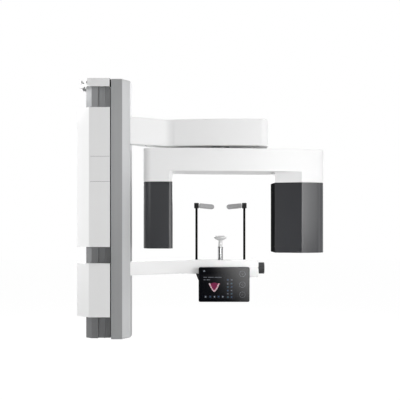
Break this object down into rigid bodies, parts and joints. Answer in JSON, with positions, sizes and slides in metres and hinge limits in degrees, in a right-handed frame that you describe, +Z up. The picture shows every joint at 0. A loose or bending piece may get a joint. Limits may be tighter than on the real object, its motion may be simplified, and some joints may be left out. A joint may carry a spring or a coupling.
{
  "type": "wall-mounted dental cone-beam ct scanner",
  "caption": "Wall-mounted dental cone-beam CT scanner with a lifting column, a turning C-shaped gantry with tube and sensor heads, chin and temple rests, and a touch panel.",
  "frame": {"origin": "centre of the wall bolt pattern, on the wall plane", "axes": "+X out of the wall, +Y away from the operator's side, +Z up along the column"},
  "size_m": [1.1916, 0.3501, 1.214],
  "materials": {
    "cover_white": "satin white lacquer",
    "column_alloy": "fine matt anodised",
    "frame_alloy": "as machined",
    "bright_steel": "ground",
    "chrome": "polished",
    "painted_steel": "powder coated",
    "head_charcoal": "glossy charcoal",
    "trim_charcoal": "matt",
    "black_plastic": "matt black",
    "panel_black": "glossy black",
    "panel_glass": "dark cover glass",
    "grip_rubber": "ribbed",
    "belt_rubber": "plain",
    "cup_white": "soft satin",
    "pad_grey": "soft satin",
    "board_green": "solder mask"
  },
  "bodies": {
    "wall_unit": {"wall_bracket_upper": "painted_steel", "wall_bracket_lower": "painted_steel", "fixed_rail": "column_alloy", "rail_top_cap": "cover_white", "upper_cover": "cover_white", "service_panel": "cover_white", "lower_cover": "cover_white", "power_supply": "painted_steel", "control_board": "board_green", "guide_rails": "bright_steel", "lift_actuator": "trim_charcoal"},
    "lift": {"lift_column": "column_alloy", "column_top_cap": "column_alloy", "column_bottom_cap": "column_alloy", "guide_blocks": "trim_charcoal", "actuator_rod": "bright_steel", "upper_arm_frame": "frame_alloy", "upper_arm_cover": "cover_white", "upper_arm_base": "cover_white", "shift_rails": "bright_steel", "lower_arm_frame": "frame_alloy", "lower_arm_cover": "cover_white", "lower_arm_base": "cover_white", "lower_arm_end": "cover_white", "chin_socket": "trim_charcoal", "panel_bracket": "black_plastic"},
    "carriage": {"carriage_plate": "frame_alloy", "shift_blocks": "trim_charcoal", "hub_bearing": "bright_steel", "drive_motor": "trim_charcoal", "drive_belt": "belt_rubber"},
    "motor_pulley": {"drive_pulley": "bright_steel"},
    "gantry": {"gantry_hub": "bright_steel", "gantry_frame": "frame_alloy", "gantry_cover": "cover_white", "gantry_base": "cover_white", "tube_cover": "head_charcoal", "tube_unit": "painted_steel", "collimator": "black_plastic", "tube_window": "black_plastic", "sensor_cover": "head_charcoal", "detector_panel": "painted_steel", "sensor_window": "black_plastic"},
    "temple_drive": {"temple_screw": "bright_steel", "temple_knob": "grip_rubber"},
    "temple_left": {"temple_nut_left": "black_plastic", "temple_rod_left": "black_plastic", "temple_head_left": "black_plastic", "temple_pad_left": "pad_grey"},
    "temple_right": {"temple_nut_right": "black_plastic", "temple_rod_right": "black_plastic", "temple_head_right": "black_plastic", "temple_pad_right": "pad_grey"},
    "chin": {"chin_post": "chrome", "chin_cup": "cup_white"},
    "panel": {"panel_housing": "panel_black", "panel_glass": "panel_glass", "panel_pin": "bright_steel"}
  },
  "joints": [
    {"name": "column_lift", "type": "slide", "parent": "wall_unit", "child": "lift", "axis": [0, 0, 1], "range_m": [-0.33, 0.27]},
    {"name": "gantry_shift", "type": "slide", "parent": "lift", "child": "carriage", "axis": [0, 1, 0], "range_m": [-0.035, 0.035]},
    {"name": "gantry_rotate", "type": "hinge", "parent": "carriage", "child": "gantry", "pos_m": [0.677, 0.145, 0.345], "axis": [0, 0, 1], "range_deg": [-135, 135]},
    {"name": "pulley_turn", "type": "hinge", "parent": "carriage", "child": "motor_pulley", "pos_m": [0.812, 0.145, 0.328], "axis": [0, 0, 1], "range_deg": [-545, 545]},
    {"name": "temple_turn", "type": "hinge", "parent": "lift", "child": "temple_drive", "pos_m": [0.677, 0.13, -0.289], "axis": [1, 0, 0], "range_deg": [-290, 290]},
    {"name": "temple_left_slide", "type": "slide", "parent": "lift", "child": "temple_left", "axis": [1, 0, 0], "range_m": [-0.0245, 0.0245]},
    {"name": "temple_right_slide", "type": "slide", "parent": "lift", "child": "temple_right", "axis": [1, 0, 0], "range_m": [-0.0245, 0.0245]},
    {"name": "chin_slide", "type": "slide", "parent": "lift", "child": "chin", "axis": [0, 0, 1], "range_m": [-0.015, 0.02]},
    {"name": "panel_tilt", "type": "hinge", "parent": "lift", "child": "panel", "pos_m": [0.695, 0.058, -0.343], "axis": [-1, 0, 0], "range_deg": [-10, 20]}
  ],
  "couplings": [
    {"joint": "pulley_turn", "follows": "gantry_rotate", "ratio": 4},
    {"joint": "temple_left_slide", "follows": "temple_turn", "m_per_rad": 0.0047746},
    {"joint": "temple_right_slide", "follows": "temple_turn", "m_per_rad": -0.0047746}
  ]
}
